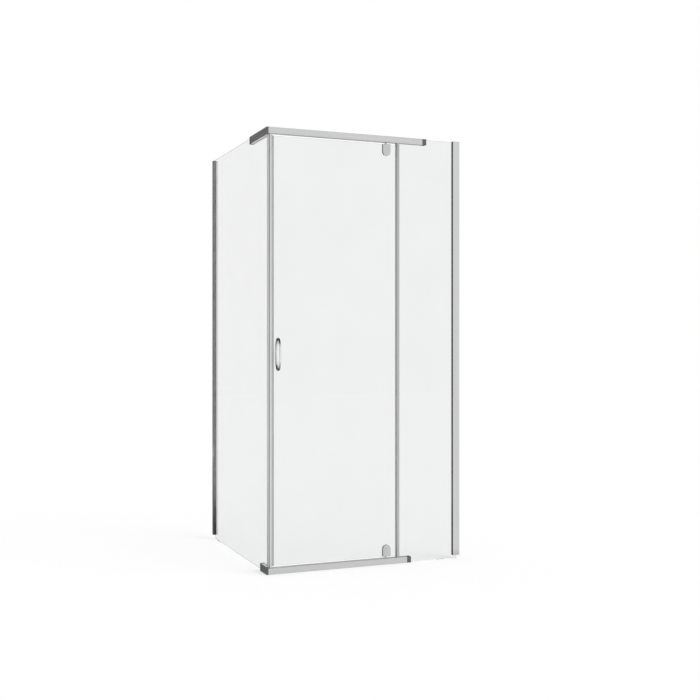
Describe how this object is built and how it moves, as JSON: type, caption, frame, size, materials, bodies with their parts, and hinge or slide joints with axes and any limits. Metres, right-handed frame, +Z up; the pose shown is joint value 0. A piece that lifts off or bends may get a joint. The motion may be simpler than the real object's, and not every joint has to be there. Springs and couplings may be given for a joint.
{
  "type": "shower screen",
  "caption": "Semi-frameless corner shower screen with a pivot door, a fixed pane, a glass return, L-shaped header and sill and wall channels.",
  "frame": {"origin": "on the tray, where the middle planes of the front glass and the return glass cross", "axes": "+X along the front towards its wall, +Y along the return towards its wall, +Z up"},
  "size_m": [0.921, 0.9173, 1.9],
  "materials": {
    "aluminium_bright": "bright anodised, fine lengthways drawing lines",
    "chrome": "polished plating",
    "steel": "turned stainless",
    "zinc": "die cast, tumbled",
    "glass": "clear toughened, polished edges",
    "cap_plastic": "fine moulded grain",
    "rubber": "extruded, dull",
    "wedge_pvc": "extruded, silver effect",
    "infill_pvc": "extruded, satin",
    "seal_pvc": "translucent extruded",
    "magnet": "bonded ferrite strip",
    "nylon": "moulded",
    "clear_plastic": "clear moulded"
  },
  "bodies": {
    "screen": {"bottom_pivot_bush": "nylon", "corner_key_screws": "steel", "corner_post": "aluminium_bright", "fixed_pane": "glass", "front_glazing_tape": "rubber", "front_glazing_wedge": "wedge_pvc", "front_wall_channel": "aluminium_bright", "header_corner_cap": "cap_plastic", "header_corner_key": "zinc", "header_end_cap": "cap_plastic", "header_gasket": "seal_pvc", "header_infill": "infill_pvc", "header_rail": "aluminium_bright", "header_return_end_cap": "cap_plastic", "header_return_gasket": "seal_pvc", "header_return_rail": "aluminium_bright", "hinge_bulb_seal": "seal_pvc", "hinge_jamb": "aluminium_bright", "rail_clamp_screws": "steel", "return_glazing_tape": "rubber", "return_glazing_wedge": "wedge_pvc", "return_pane": "glass", "return_wall_channel": "aluminium_bright", "setting_blocks": "clear_plastic", "sill_corner_cap": "cap_plastic", "sill_corner_key": "zinc", "sill_end_cap": "cap_plastic", "sill_gasket": "seal_pvc", "sill_infill": "infill_pvc", "sill_rail": "aluminium_bright", "sill_return_end_cap": "cap_plastic", "sill_return_gasket": "seal_pvc", "sill_return_rail": "aluminium_bright", "strike_magnet": "magnet", "strike_seal": "seal_pvc", "top_pivot_bush": "nylon"},
    "door": {"bottom_pivot_body": "chrome", "bottom_pivot_clamp_plate": "chrome", "bottom_pivot_pads": "rubber", "bottom_pivot_pin": "steel", "bottom_pivot_screws": "steel", "door_edge_seal": "seal_pvc", "door_magnet": "magnet", "door_pane": "glass", "handle_sleeves": "nylon", "handle_studs": "steel", "handle_washers": "clear_plastic", "inner_handle": "chrome", "outer_handle": "chrome", "top_pivot_body": "chrome", "top_pivot_clamp_plate": "chrome", "top_pivot_pads": "rubber", "top_pivot_pin": "steel", "top_pivot_screws": "steel"}
  },
  "joints": [
    {"name": "door_pivot", "type": "hinge", "parent": "screen", "child": "door", "pos_m": [0.54475, 0, 0.95], "axis": [0, 0, 1], "range_deg": [0, 100]}
  ]
}
